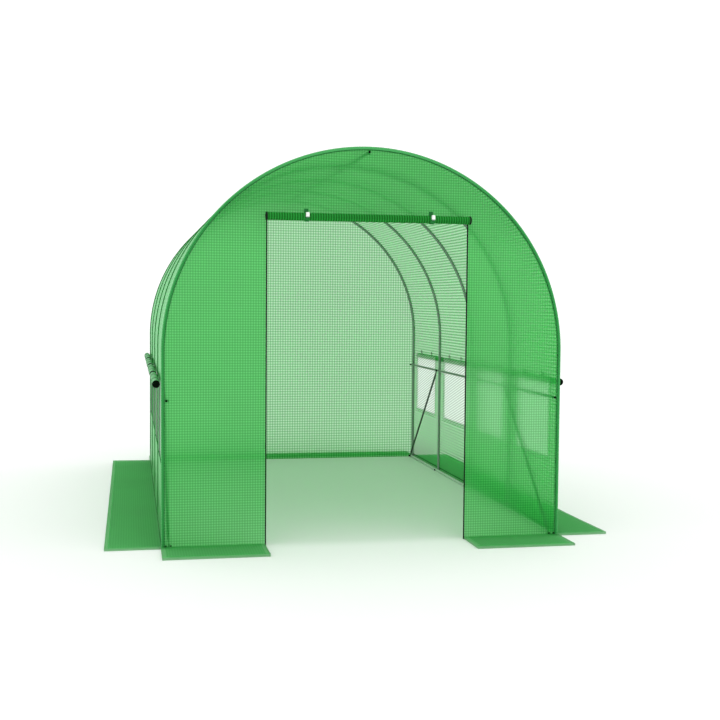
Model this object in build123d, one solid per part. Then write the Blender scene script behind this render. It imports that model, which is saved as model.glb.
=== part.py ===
from build123d import *
import math
import os

# Walk-in polytunnel greenhouse, in millimetres.
# +Z is up, the doorway faces -Y, and the origin is on the ground at the centre of the plan.

# Overall size, measured over the outside of the cover
TUNNEL_WIDTH = 2000.0
TUNNEL_LENGTH = 3000.0
EAVES_HEIGHT = 940.0
BAY_COUNT = 4

# Sheet and tube stock
FILM = 2.0
NET_THICKNESS = 1.0
TUBE_DIAMETER = 16.0
TUBE_SIDES = 12
PURLIN_DIAMETER = 14.0
BRACE_DIAMETER = 13.0
SEAT_GAP = 0.3

# Steel frame
PURLIN_HEIGHT = 710.0
BRACE_RUN = 735.0
BRACE_FOOT_SETBACK = 25.0
BRACE_FOOT_HEIGHT = 11.0

# Flattened and drilled ends of the braces, measured from the bolt hole
FLAT_THICKNESS = 3.0
FLAT_WIDTH = 15.0
FLAT_LENGTH = 22.0
FLAT_END = 6.0
TAPER_LENGTH = 28.0
BOLT_HOLE = 6.0

# Ground skirts
SIDE_SKIRT_WIDTH = 265.0
END_SKIRT_WIDTH = 235.0

# Doorway and its rolled-up door
DOOR_WIDTH = 1006.0
HEADER_DEPTH = 360.0
ZIP_WIDTH = 6.0
ZIP_PROUD = 1.0
DOOR_ROLL_DIAMETER = 39.0
DOOR_ROLL_SHEET = 2.4
DOOR_ROLL_GAP = 0.6
DOOR_ROLL_HALF_TURNS = 7
DOOR_ROLL_RISE = 11.0
ZIP_COIL_DIAMETER = 43.0
ZIP_COIL_LENGTH = 8.0
ZIP_COIL_SHEET = 4.0
ZIP_COIL_HALF_TURNS = 4
ZIP_COIL_OVERHANG = 5.0

# Straps that tie the door up
STRAP_THICKNESS = 2.0
STRAP_WIDTH = 20.0
STRAP_TAIL = 22.0
STRAP_SPACING = 620.0
TOGGLE_DIAMETER = 18.0
TOGGLE_LENGTH = 26.0
TOGGLE_CHAMFER = 4.0
TOGGLE_RISE = 8.0
LOOP_SIDES = 12

# Side windows and their rolled-up flaps
WINDOW_WIDTH = 490.0
WINDOW_SILL = 390.0
WINDOW_HEIGHT = 390.0
NET_LAP = 20.0
WINDOW_ROLL_DIAMETER = 38.0
WINDOW_ROLL_LIP = 3.0
WINDOW_ROLL_LENGTH = 630.0
WINDOW_ROLL_RISE = 5.0
TIE_THICKNESS = 1.0
TIE_WIDTH = 10.0
TIE_TAIL = 20.0
TIE_SPACING = 280.0

# Roof split into arcs of the same angle
ROOF_ARCS = 4

# Places that follow from the sizes above
HALF_WIDTH = TUNNEL_WIDTH / 2
HALF_LENGTH = TUNNEL_LENGTH / 2
COVER_RADIUS = HALF_WIDTH
TUBE_RADIUS = TUBE_DIAMETER / 2
PURLIN_RADIUS = PURLIN_DIAMETER / 2
BRACE_RADIUS = BRACE_DIAMETER / 2
HOOP_RADIUS = COVER_RADIUS - FILM - SEAT_GAP - TUBE_RADIUS
END_HOOP_Y = HALF_LENGTH - FILM - SEAT_GAP - TUBE_RADIUS
BAY_LENGTH = 2 * END_HOOP_Y / BAY_COUNT
HOOP_INSIDE = HOOP_RADIUS - TUBE_RADIUS - SEAT_GAP
RAIL_X = HOOP_INSIDE - TUBE_RADIUS
PURLIN_X = HOOP_INSIDE - PURLIN_RADIUS
RAIL_HALF_LENGTH = HALF_LENGTH - FILM - SEAT_GAP
BRACE_FOOT_X = RAIL_X - TUBE_RADIUS - SEAT_GAP - FLAT_THICKNESS / 2
BRACE_HEAD_X = PURLIN_X - PURLIN_RADIUS - SEAT_GAP - FLAT_THICKNESS / 2
DOOR_HEIGHT = EAVES_HEIGHT + COVER_RADIUS - HEADER_DEPTH
DOOR_ROLL_HEIGHT = DOOR_HEIGHT + DOOR_ROLL_RISE
WINDOW_TOP = WINDOW_SILL + WINDOW_HEIGHT
WINDOW_ROLL_HEIGHT = WINDOW_TOP + WINDOW_ROLL_RISE
WALL_HALF_LENGTH = HALF_LENGTH - FILM
BAY_CENTRES = [BAY_LENGTH * (i + 0.5) - END_HOOP_Y for i in range(BAY_COUNT)]
HOOP_PLACES = [BAY_LENGTH * i - END_HOOP_Y for i in range(BAY_COUNT + 1)]
SIDES = {"left": -1, "right": 1}


def block(x0, x1, y0, y1, z0, z1):
    """A rectangular solid between two corners."""
    centre = ((x0 + x1) / 2, (y0 + y1) / 2, (z0 + z1) / 2)
    return Pos(*centre) * Box(abs(x1 - x0), abs(y1 - y0), abs(z1 - z0))


def along_y(x, z, radius, y0, y1):
    """A round bar that runs along the tunnel."""
    section = Plane(origin=(x, y0, z), z_dir=(0, 1, 0)) * Circle(radius)
    return extrude(section, y1 - y0)


def save(shape, node):
    """Writes one node of the assembly."""
    export_step(shape, f"parts/{node}.step")


def hoop(y):
    """One arched tube: two straight legs and a half circle, bent from one length."""
    left_foot = (-HOOP_RADIUS, y, 0)
    left_eaves = (-HOOP_RADIUS, y, EAVES_HEIGHT)
    crown = (0, y, EAVES_HEIGHT + HOOP_RADIUS)
    right_eaves = (HOOP_RADIUS, y, EAVES_HEIGHT)
    right_foot = (HOOP_RADIUS, y, 0)
    rise = Line(left_foot, left_eaves)
    arch = ThreePointArc(left_eaves, crown, right_eaves)
    fall = Line(right_eaves, right_foot)
    tube = RegularPolygon(TUBE_RADIUS, TUBE_SIDES, major_radius=False, rotation=180 / TUBE_SIDES)
    section = Plane(origin=left_foot, z_dir=(0, 0, 1)) * tube
    return sweep(section, path=Wire([rise, arch, fall]))


def flattened_end(hole, into_tube, across):
    """The end of a tube pressed flat: a drilled flat, then a taper that opens to the full round.

    hole is the middle of the bolt hole, into_tube the way to the tube's middle and across the bolt's way.
    """
    flat = Ellipse(FLAT_THICKNESS / 2, FLAT_WIDTH / 2)

    def station(distance):
        return Plane(origin=hole + into_tube * distance, x_dir=across, z_dir=into_tube)

    tab = extrude(station(-FLAT_END) * flat, FLAT_END + FLAT_LENGTH)
    taper = loft([station(FLAT_LENGTH) * flat, station(FLAT_LENGTH + TAPER_LENGTH) * Circle(BRACE_RADIUS)])
    drill = extrude(Plane(origin=hole, z_dir=across) * Circle(BOLT_HOLE / 2), FLAT_THICKNESS, both=True)
    return tab + taper - drill


def brace(side, end):
    """A diagonal tube, bolted by its flattened ends to the base rail and the side purlin."""
    foot_y = END_HOOP_Y - BRACE_FOOT_SETBACK
    foot = Vector(side * BRACE_FOOT_X, end * foot_y, BRACE_FOOT_HEIGHT)
    head = Vector(side * BRACE_HEAD_X, end * (foot_y - BRACE_RUN), PURLIN_HEIGHT)
    along = (head - foot).normalized()
    across = along.cross(Vector(0, along.Z, -along.Y)).normalized()
    round_start = foot + along * (FLAT_LENGTH + TAPER_LENGTH)
    round_length = (head - foot).length - 2 * (FLAT_LENGTH + TAPER_LENGTH)
    tube = extrude(Plane(origin=round_start, x_dir=across, z_dir=along) * Circle(BRACE_RADIUS), round_length)
    return tube + flattened_end(foot, along, across) + flattened_end(head, along * -1, across)


def roof_arc(index):
    """One strip of the rounded roof, from one arc angle to the next."""
    step = 180 / ROOF_ARCS
    outer = COVER_RADIUS
    inner = COVER_RADIUS - FILM
    start = math.radians(index * step)
    middle = math.radians((index + 0.5) * step)
    end = math.radians((index + 1) * step)

    def point(radius, angle):
        return (radius * math.cos(angle), EAVES_HEIGHT + radius * math.sin(angle))

    outline = Wire([
        ThreePointArc(point(outer, start), point(outer, middle), point(outer, end)),
        Line(point(outer, end), point(inner, end)),
        ThreePointArc(point(inner, end), point(inner, middle), point(inner, start)),
        Line(point(inner, start), point(outer, start)),
    ])
    section = Plane(origin=(0, WALL_HALF_LENGTH, 0), x_dir=(1, 0, 0), z_dir=(0, -1, 0)) * make_face(outline)
    return extrude(section, 2 * WALL_HALF_LENGTH)


def gable(outer_y, inward):
    """A whole end sheet with the arch outline; inward is the way its thickness goes."""
    outline = Wire([
        Line((-HALF_WIDTH, 0), (HALF_WIDTH, 0)),
        Line((HALF_WIDTH, 0), (HALF_WIDTH, EAVES_HEIGHT)),
        ThreePointArc(
            (HALF_WIDTH, EAVES_HEIGHT),
            (0, EAVES_HEIGHT + COVER_RADIUS),
            (-HALF_WIDTH, EAVES_HEIGHT),
        ),
        Line((-HALF_WIDTH, EAVES_HEIGHT), (-HALF_WIDTH, 0)),
    ])
    start_y = max(outer_y, outer_y + inward * FILM)
    section = Plane(origin=(0, start_y, 0), x_dir=(1, 0, 0), z_dir=(0, -1, 0)) * make_face(outline)
    return extrude(section, FILM)


def band_round(radius, width, thickness, tail, centre, axis, wall_side):
    """A strap looped round a roll, with its sewn tail flat on the wall above the roll."""
    loop_radius = radius + SEAT_GAP
    flats = {"side_count": LOOP_SIDES, "major_radius": False, "rotation": 180 / LOOP_SIDES}
    ring = RegularPolygon(loop_radius + thickness, **flats) - RegularPolygon(loop_radius, **flats)
    plane = Plane(origin=centre, x_dir=wall_side, z_dir=axis)
    loop = extrude(plane * ring, width / 2, both=True)
    back = loop_radius + thickness / 2
    place = centre + wall_side * back + Vector(0, 0, (radius + tail) / 2)
    size = [thickness, thickness, radius + tail]
    size[0 if abs(axis.X) > 0.5 else 1] = width
    return loop + Pos(*place) * Box(*size)


def spiral_edge(radius, pitch, half_turns):
    """Half circles that wind inwards by half a pitch each, tangent where they meet."""
    arcs = []
    for index in range(half_turns):
        reach = radius - index * pitch / 2
        way = 1 if index % 2 == 0 else -1
        middle = 0 if index % 2 == 0 else -pitch / 2
        arcs.append(ThreePointArc((middle + way * reach, 0), (middle, way * reach), (middle - way * reach, 0)))
    return arcs


def rolled_sheet(radius, sheet, gap, half_turns):
    """Cross-section of a sheet rolled up on itself, with a clear gap between its turns."""
    outer = spiral_edge(radius, sheet + gap, half_turns)
    inner = spiral_edge(radius - sheet, sheet + gap, half_turns)
    lip = Line(inner[0] @ 0, outer[0] @ 0)
    core = Line(outer[-1] @ 1, inner[-1] @ 1)
    return make_face(Wire([*outer, core, *inner, lip]))


def rolled_flap(radius, lip_height):
    """Cross-section of a tightly rolled flap, whose hem stands out as one lip."""
    outer = spiral_edge(radius, lip_height, 2)
    lip = Line(outer[-1] @ 1, outer[0] @ 0)
    return make_face(Wire([*outer, lip]))


def roll(section, length, centre, axis, up):
    """A roll of the given cross-section, centred on a place; up is the way its lip lies."""
    return extrude(Plane(origin=centre, x_dir=up, z_dir=axis) * section, length / 2, both=True)


os.makedirs("parts", exist_ok=True)

# Steel frame
for number, place in enumerate(HOOP_PLACES, start=1):
    save(hoop(place), f"hoop_{number}")

ridge_z = EAVES_HEIGHT + PURLIN_X
save(along_y(0, ridge_z, PURLIN_RADIUS, -RAIL_HALF_LENGTH, RAIL_HALF_LENGTH), "ridge_purlin")

for name, side in SIDES.items():
    purlin = along_y(side * PURLIN_X, PURLIN_HEIGHT, PURLIN_RADIUS, -RAIL_HALF_LENGTH, RAIL_HALF_LENGTH)
    save(purlin, f"side_purlin_{name}")
    rail = along_y(side * RAIL_X, TUBE_RADIUS, TUBE_RADIUS, -RAIL_HALF_LENGTH, RAIL_HALF_LENGTH)
    save(rail, f"base_rail_{name}")
    save(brace(side, -1), f"brace_front_{name}")
    save(brace(side, 1), f"brace_back_{name}")

# Side walls, split into plain strips round the windows
for name, side in SIDES.items():
    outer = side * HALF_WIDTH
    inner = side * (HALF_WIDTH - FILM)
    ends = (-WALL_HALF_LENGTH, WALL_HALF_LENGTH)
    save(block(inner, outer, *ends, 0, WINDOW_SILL), f"wall_{name}_below_windows")
    save(block(inner, outer, *ends, WINDOW_TOP, EAVES_HEIGHT), f"wall_{name}_above_windows")
    edges = [-WALL_HALF_LENGTH]
    for centre in BAY_CENTRES:
        edges += [centre - WINDOW_WIDTH / 2, centre + WINDOW_WIDTH / 2]
    edges.append(WALL_HALF_LENGTH)
    piers = [
        block(inner, outer, edges[i], edges[i + 1], WINDOW_SILL, WINDOW_TOP)
        for i in range(0, len(edges), 2)
    ]
    save(Compound(children=piers), f"wall_{name}_between_windows")

# Roof sheet, in arcs that meet on radial faces
roof_names = ["roof_right_low", "roof_right_high", "roof_left_high", "roof_left_low"]
for index, name in enumerate(roof_names):
    save(roof_arc(index), name)

# Front sheet, split beside and over the doorway
front = gable(-HALF_LENGTH, 1)
side_width = HALF_WIDTH - DOOR_WIDTH / 2
side_centre = DOOR_WIDTH / 2 + side_width / 2
for name, side in SIDES.items():
    window = Pos(side * side_centre, -HALF_LENGTH, DOOR_HEIGHT / 2) * Box(side_width, 4 * FILM, DOOR_HEIGHT)
    save(front & window, f"front_{name}_of_door")
above_height = EAVES_HEIGHT + COVER_RADIUS - DOOR_HEIGHT
above = Pos(0, -HALF_LENGTH, DOOR_HEIGHT + above_height / 2) * Box(TUNNEL_WIDTH, 4 * FILM, above_height)
save(front & above, "front_over_door")

# Back sheet
save(gable(HALF_LENGTH, -1), "back_wall")

# Ground skirts, laid flat round the foot
for name, side in SIDES.items():
    skirt = block(
        side * HALF_WIDTH, side * (HALF_WIDTH + SIDE_SKIRT_WIDTH), -HALF_LENGTH, HALF_LENGTH, 0, FILM
    )
    save(skirt, f"skirt_{name}")
    skirt = block(
        side * DOOR_WIDTH / 2, side * HALF_WIDTH, -HALF_LENGTH - END_SKIRT_WIDTH, -HALF_LENGTH, 0, FILM
    )
    save(skirt, f"skirt_front_{name}")
skirt = block(-HALF_WIDTH, HALF_WIDTH, HALF_LENGTH, HALF_LENGTH + END_SKIRT_WIDTH, 0, FILM)
save(skirt, "skirt_back")

# Zips down both edges of the doorway
for name, side in SIDES.items():
    edge = side * DOOR_WIDTH / 2
    zip_strip = block(
        edge - side * ZIP_WIDTH,
        edge,
        -HALF_LENGTH - ZIP_PROUD,
        -HALF_LENGTH + FILM + ZIP_PROUD,
        0,
        DOOR_HEIGHT,
    )
    save(zip_strip, f"zip_{name}")

# Rolled-up door, with its zip tapes coiled at both ends, its straps and toggles
strap_reach = DOOR_ROLL_DIAMETER / 2 + SEAT_GAP + STRAP_THICKNESS
door_roll_y = -HALF_LENGTH - SEAT_GAP - max(strap_reach, ZIP_COIL_DIAMETER / 2)
door_roll_end = DOOR_WIDTH / 2 + ZIP_COIL_OVERHANG - ZIP_COIL_LENGTH
door_axis = Vector(1, 0, 0)
roll_centre = Vector(0, door_roll_y, DOOR_ROLL_HEIGHT)
door_section = rolled_sheet(DOOR_ROLL_DIAMETER / 2, DOOR_ROLL_SHEET, DOOR_ROLL_GAP, DOOR_ROLL_HALF_TURNS)
save(roll(door_section, 2 * (door_roll_end - SEAT_GAP), roll_centre, door_axis, Vector(0, 1, 0)), "door_roll")
coil_section = rolled_sheet(ZIP_COIL_DIAMETER / 2, ZIP_COIL_SHEET, DOOR_ROLL_GAP, ZIP_COIL_HALF_TURNS)
coils = [
    roll(
        coil_section,
        ZIP_COIL_LENGTH,
        roll_centre + Vector(side * (door_roll_end + ZIP_COIL_LENGTH / 2), 0, 0),
        door_axis,
        Vector(0, 1, 0),
    )
    for side in SIDES.values()
]
save(Compound(children=coils), "door_zip_coils")
straps = []
toggles = []
for side in SIDES.values():
    centre = roll_centre + Vector(side * STRAP_SPACING / 2, 0, 0)
    straps.append(
        band_round(
            DOOR_ROLL_DIAMETER / 2, STRAP_WIDTH, STRAP_THICKNESS, STRAP_TAIL, centre, door_axis, Vector(0, 1, 0)
        )
    )
    toggle_y = door_roll_y - strap_reach - SEAT_GAP - TOGGLE_DIAMETER / 2
    barrel = Cylinder(TOGGLE_DIAMETER / 2, TOGGLE_LENGTH)
    barrel = chamfer(barrel.edges().filter_by(GeomType.CIRCLE), TOGGLE_CHAMFER)
    toggles.append(Pos(centre.X, toggle_y, DOOR_ROLL_HEIGHT + TOGGLE_RISE) * barrel)
save(Compound(children=straps), "door_straps")
save(Compound(children=toggles), "door_toggles")

# Window nets, rolled-up flaps and their ties
tie_reach = WINDOW_ROLL_DIAMETER / 2 + SEAT_GAP + TIE_THICKNESS
window_roll_x = HALF_WIDTH + SEAT_GAP + tie_reach
flap_section = rolled_flap(WINDOW_ROLL_DIAMETER / 2, WINDOW_ROLL_LIP)
ties = []
for name, side in SIDES.items():
    nets = []
    rolls = []
    inside = side * (HALF_WIDTH - FILM)
    for centre in BAY_CENTRES:
        reach = WINDOW_WIDTH / 2 + NET_LAP
        nets.append(
            block(
                inside - side * NET_THICKNESS,
                inside,
                centre - reach,
                centre + reach,
                WINDOW_SILL - NET_LAP,
                WINDOW_TOP + NET_LAP,
            )
        )
        place = Vector(side * window_roll_x, centre, WINDOW_ROLL_HEIGHT)
        rolls.append(roll(flap_section, WINDOW_ROLL_LENGTH, place, Vector(0, 1, 0), Vector(side, 0, 0)))
        for offset in (-TIE_SPACING / 2, TIE_SPACING / 2):
            tie_place = place + Vector(0, offset, 0)
            ties.append(
                band_round(
                    WINDOW_ROLL_DIAMETER / 2,
                    TIE_WIDTH,
                    TIE_THICKNESS,
                    TIE_TAIL,
                    tie_place,
                    Vector(0, 1, 0),
                    Vector(-side, 0, 0),
                )
            )
    save(Compound(children=nets), f"window_nets_{name}")
    save(Compound(children=rolls), f"window_rolls_{name}")
save(Compound(children=ties), "window_ties")
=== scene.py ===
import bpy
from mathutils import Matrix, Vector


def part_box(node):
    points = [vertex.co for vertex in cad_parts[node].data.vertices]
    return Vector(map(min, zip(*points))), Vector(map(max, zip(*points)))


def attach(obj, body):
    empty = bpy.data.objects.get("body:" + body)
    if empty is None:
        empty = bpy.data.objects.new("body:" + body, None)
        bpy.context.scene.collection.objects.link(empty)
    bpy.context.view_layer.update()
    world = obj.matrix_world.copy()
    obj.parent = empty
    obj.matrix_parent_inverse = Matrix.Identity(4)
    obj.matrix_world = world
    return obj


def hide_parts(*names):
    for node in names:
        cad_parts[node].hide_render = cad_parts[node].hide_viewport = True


bl_info = {
    "name": "Polytunnel Greenhouse",
    "version": (1, 0, 0),
    "blender": (4, 5, 0),
    "location": "View3D > Sidebar > Polytunnel",
    "description": "Dresses the walk-in polytunnel: woven film cover, nets, zips, rolls, ties and bolts",
    "category": "Add Mesh",
}

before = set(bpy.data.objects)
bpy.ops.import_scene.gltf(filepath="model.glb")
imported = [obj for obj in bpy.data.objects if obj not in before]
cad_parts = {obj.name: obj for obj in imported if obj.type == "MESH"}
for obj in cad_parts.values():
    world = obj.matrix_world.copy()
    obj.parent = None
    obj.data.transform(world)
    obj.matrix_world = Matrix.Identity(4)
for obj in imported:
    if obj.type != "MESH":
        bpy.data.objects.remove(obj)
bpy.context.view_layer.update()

import math

import bmesh
import bpy
from bpy.props import FloatProperty, PointerProperty, StringProperty
from mathutils import Matrix, Vector, noise

MM = 0.001
BODY = "root"

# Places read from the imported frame
WALL_LOW, WALL_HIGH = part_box("wall_right_below_windows")
FRONT_LOW, FRONT_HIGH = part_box("front_over_door")
DOOR_SIDE_LOW, DOOR_SIDE_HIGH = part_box("front_right_of_door")
PIER_LOW, PIER_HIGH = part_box("wall_right_between_windows")
FILM_GAUGE = WALL_HIGH.x - WALL_LOW.x
HALF_WIDTH = WALL_HIGH.x
FRONT_Y = FRONT_LOW.y
BACK_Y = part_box("back_wall")[1].y
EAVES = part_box("wall_right_above_windows")[1].z
SILL = PIER_LOW.z
WINDOW_TOP = PIER_HIGH.z
DOOR_HALF = DOOR_SIDE_LOW.x
DOOR_TOP = DOOR_SIDE_HIGH.z
HOOPS = [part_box(f"hoop_{i}") for i in range(1, 6)]
HOOP_YS = [(low.y + high.y) / 2 for low, high in HOOPS]
SIDE_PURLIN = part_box("side_purlin_right")
RIDGE_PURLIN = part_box("ridge_purlin")
BASE_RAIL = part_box("base_rail_right")
SIDES = {"left": -1, "right": 1}

# The cover follows the middle of the film's thickness
SKIN = HALF_WIDTH - FILM_GAUGE / 2
ARCH_LENGTH = math.pi * SKIN
GIRTH = 2 * EAVES + ARCH_LENGTH
ARCH_STEPS = 96
SHEET_STEP = 50 * MM

# Trim on the end sheets starts this far over the ground and stands this far off the film
ARCH_FOOT = 4 * MM
TRIM_PROUD = 0.4 * MM
BINDING_PROUD = 0.5 * MM

# In from the outside of the wall: a sleeve's outer edge and the binding's middle
SLEEVE_EDGE = 1 * MM
BINDING_INSET = 3 * MM

# From a sleeve's inner edge to the seam beside it
SEAM_GAP = 2.5 * MM

# A weave's unit runs from 0 in the middle of a cell to 0.5 in the middle of a tape, whose edge fades here
TAPE_EDGE = (0.2, 0.32)

# Nearly all values of a noise texture lie between these two
NOISE_LOW = 0.3
NOISE_HIGH = 0.7

# Film is so thin that it hardly bends the light that comes through
THIN_IOR = 1.05

# Heights between which the light behind a film fades over the doorway, and comes up beside the skirts
HEADER_FADE = (DOOR_TOP - 200 * MM, DOOR_TOP + 100 * MM)
FOOT_FADE = (50 * MM, 220 * MM)

# The ties' tabs hang this far inside the wall and start this far over the rolls
TAB_CLEAR = 1 * MM
TAB_GAP = 4 * MM

# The windows' edging stands this far off the wall
EDGING_PROUD = 0.6 * MM

# A turned-down hem stops this far over the ground
HEM_CLEAR = 0.3 * MM

# A skirt ripples by this much for each metre from the wall, with this many waves in a metre
SKIRT_RIPPLE = 10 * MM
RIPPLE_WAVES = 3

# A brace's tube stands prouder than its flattened ends by this much
BRACE_SKEW = 4.7 * MM

# The corner pegs' two ends, in from the outside of the wall
PEG_INSETS = (47 * MM, 23 * MM)

# The camera that matches the photograph's view
CAMERA_PLACE = Vector((-1.1425, -6.9098, 1.1871))
CAMERA_YAW = 0.20116
CAMERA_PITCH = -0.0515
CAMERA_ROLL = 0.0085
CAMERA_LENS = 56.48


def edges_along_y(node):
    """Start and end of each separate solid of a node along Y, from its own edges."""
    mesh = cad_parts[node].data
    ends = {tuple(sorted(mesh.vertices[i].co.y for i in edge.vertices)) for edge in mesh.edges}
    spans = []
    for start, end in sorted(ends):
        if spans and start <= spans[-1][1] + MM:
            spans[-1][1] = max(spans[-1][1], end)
        else:
            spans.append([start, end])
    return spans


PIERS = edges_along_y("wall_right_between_windows")
WINDOWS = [(PIERS[i][1], PIERS[i + 1][0]) for i in range(len(PIERS) - 1)]
TIE_YS = [(start + end) / 2 for start, end in edges_along_y("window_ties")]


def linear(code):
    """An sRGB hex value as linear light, opaque."""
    parts = [int(code[i:i + 2], 16) / 255 for i in (1, 3, 5)]
    low = [p / 12.92 if p <= 0.04045 else ((p + 0.055) / 1.055) ** 2.4 for p in parts]
    return (*low, 1.0)


def add(tree, kind, links=None, **settings):
    """Adds one node; links holds its input values, or the output sockets that feed them."""
    made = tree.nodes.new(kind)
    for name, value in settings.items():
        setattr(made, name, value)
    for key, value in (links or {}).items():
        if isinstance(value, bpy.types.NodeSocket):
            tree.links.new(value, made.inputs[key])
        else:
            made.inputs[key].default_value = value
    return made


def new_material(name):
    """An empty node material and its output node."""
    material = bpy.data.materials.new(name)
    material.use_nodes = True
    material.node_tree.nodes.clear()
    return material, material.node_tree, add(material.node_tree, "ShaderNodeOutputMaterial")


def thread_lines(tree, vector, axis, inner, outer):
    """1 on the threads that cross one axis of a unit grid and 0 in its open cells."""
    cell = add(tree, "ShaderNodeVectorMath", {0: vector}, operation="FRACTION")
    split = add(tree, "ShaderNodeSeparateXYZ", {0: cell.outputs[0]})
    off = add(tree, "ShaderNodeMath", {0: split.outputs[axis], 1: 0.5}, operation="SUBTRACT")
    away = add(tree, "ShaderNodeMath", {0: off.outputs[0]}, operation="ABSOLUTE")
    line = add(tree, "ShaderNodeMapRange", {0: away.outputs[0], 1: inner, 2: outer, 3: 0.0, 4: 1.0},
               interpolation_type="SMOOTHSTEP")
    return line.outputs[0]


def woven_tapes(tree, pitch, cross):
    """1 where tapes cross and 0 in the open cells; cross is the weight of the tapes that run up the sheet."""
    uv = add(tree, "ShaderNodeUVMap", uv_map="UVMap")
    scaled = add(tree, "ShaderNodeVectorMath", {0: uv.outputs[0], 1: (1 / pitch,) * 3}, operation="MULTIPLY")
    upright, level = [thread_lines(tree, scaled.outputs[0], axis, *TAPE_EDGE) for axis in ("X", "Y")]
    weaker = add(tree, "ShaderNodeMath", {0: upright, 1: cross}, operation="MULTIPLY")
    crossed = add(tree, "ShaderNodeMath", {0: weaker.outputs[0], 1: level}, operation="ADD")
    share = add(tree, "ShaderNodeMath", {0: crossed.outputs[0], 1: 1 + cross}, operation="DIVIDE")
    # Two tapes lie over each other where they cross, so the crossings are the darkest
    weave = add(tree, "ShaderNodeMath", {0: share.outputs[0], 1: 0.6}, operation="POWER")
    return weave.outputs[0]


def film_shade(tree, header, foot):
    """How bright a film looks, and the part of it that is due to the doorway's header."""
    where = add(tree, "ShaderNodeTexCoord")
    cloud = add(tree, "ShaderNodeTexNoise", {"Vector": where.outputs["Object"], "Scale": 2.2, "Detail": 3.0})
    cloudy = add(tree, "ShaderNodeMapRange",
                 {0: cloud.outputs[0], 1: NOISE_LOW, 2: NOISE_HIGH, 3: 0.96, 4: 1.04})
    split = add(tree, "ShaderNodeSeparateXYZ", {0: where.outputs["Object"]})
    parts = []
    for (low, high), below, above in ((HEADER_FADE, 1.0, header), (FOOT_FADE, foot, 1.0)):
        part = add(tree, "ShaderNodeMapRange", {0: split.outputs["Z"], 1: low, 2: high, 3: below, 4: above},
                   interpolation_type="SMOOTHSTEP")
        parts.append(part.outputs[0])
    over_door, off_ground = parts
    shade = add(tree, "ShaderNodeMath", {0: off_ground, 1: over_door}, operation="MULTIPLY")
    lit = add(tree, "ShaderNodeMath", {0: cloudy.outputs[0], 1: shade.outputs[0]}, operation="MULTIPLY")
    return lit.outputs[0], over_door


def film_material(film, name, pitch, cell, tape, shine=0.25, soft=1.0, cross=1.0, header=1.0,
                  sheen=0.0, foot=1.0):
    """Reinforced polyethylene film: a tape-woven green scrim between two clear layers.

    The milky layers scatter light through the sheet and blur what lies behind it; the cells between the
    tapes pass more light than the tapes do. cell and tape are pairs of a colour and an open share, soft
    scales the blurred shares, cross is the weight of the tapes that run up the sheet, and header dims the
    film over the doorway, where less light comes in behind it. sheen is the pale gloss that a film shows
    when it is seen almost edge on, and foot dims the lowest part, which the skirts keep in shade.
    """
    material, tree, output = new_material(name)
    weave = woven_tapes(tree, pitch, cross)
    lit, over_door = film_shade(tree, header, foot)
    tone = add(tree, "ShaderNodeMix", {0: weave, 6: linear(cell[0]), 7: linear(tape[0])}, data_type="RGBA")
    toned = add(tree, "ShaderNodeHueSaturation", {"Value": lit, "Color": tone.outputs[2]})
    colour = toned.outputs[0]
    bump = add(tree, "ShaderNodeBump", {"Strength": 0.2, "Distance": 0.3 * MM, "Height": weave})
    gloss = add(tree, "ShaderNodeBsdfPrincipled",
                {"Base Color": colour, "Roughness": 0.4, "IOR": 1.5, "Specular IOR Level": shine,
                 "Normal": bump.outputs[0]})
    # The tapes pass scattered light, and a green and blurred image of what lies behind
    spread = add(tree, "ShaderNodeBsdfTranslucent", {"Color": colour})
    image = add(tree, "ShaderNodeBsdfRefraction", {"Color": colour, "Roughness": film.blur, "IOR": THIN_IOR})
    glow = add(tree, "ShaderNodeMixShader",
               {0: film.image_share * soft, 1: spread.outputs[0], 2: image.outputs[0]})
    body = add(tree, "ShaderNodeMixShader", {0: film.glow_share, 1: gloss.outputs[0], 2: glow.outputs[0]})
    # The cells pass light as it is, in part blurred by the milky layers
    clear = add(tree, "ShaderNodeBsdfTransparent")
    milky = add(tree, "ShaderNodeBsdfRefraction", {"Roughness": film.blur, "IOR": THIN_IOR})
    window = add(tree, "ShaderNodeMixShader",
                 {0: film.milky_share * soft, 1: clear.outputs[0], 2: milky.outputs[0]})
    opened = add(tree, "ShaderNodeMapRange", {0: weave, 1: 0.0, 2: 1.0, 3: cell[1], 4: tape[1]})
    seen = add(tree, "ShaderNodeMath", {0: opened.outputs[0], 1: over_door}, operation="MULTIPLY")
    sheet = add(tree, "ShaderNodeMixShader", {0: seen.outputs[0], 1: body.outputs[0], 2: window.outputs[0]})
    if sheen:
        slant = add(tree, "ShaderNodeLayerWeight", {"Blend": 0.5})
        edge_on = add(tree, "ShaderNodeMath", {0: slant.outputs["Facing"], 1: 6.0}, operation="POWER")
        glint = add(tree, "ShaderNodeMath", {0: edge_on.outputs[0], 1: sheen}, operation="MULTIPLY")
        skin = add(tree, "ShaderNodeBsdfGlossy", {"Color": linear(film.sheen_colour), "Roughness": 0.3})
        sheet = add(tree, "ShaderNodeMixShader",
                    {0: glint.outputs[0], 1: sheet.outputs[0], 2: skin.outputs[0]})
    tree.links.new(sheet.outputs[0], output.inputs[0])
    return material


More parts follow.
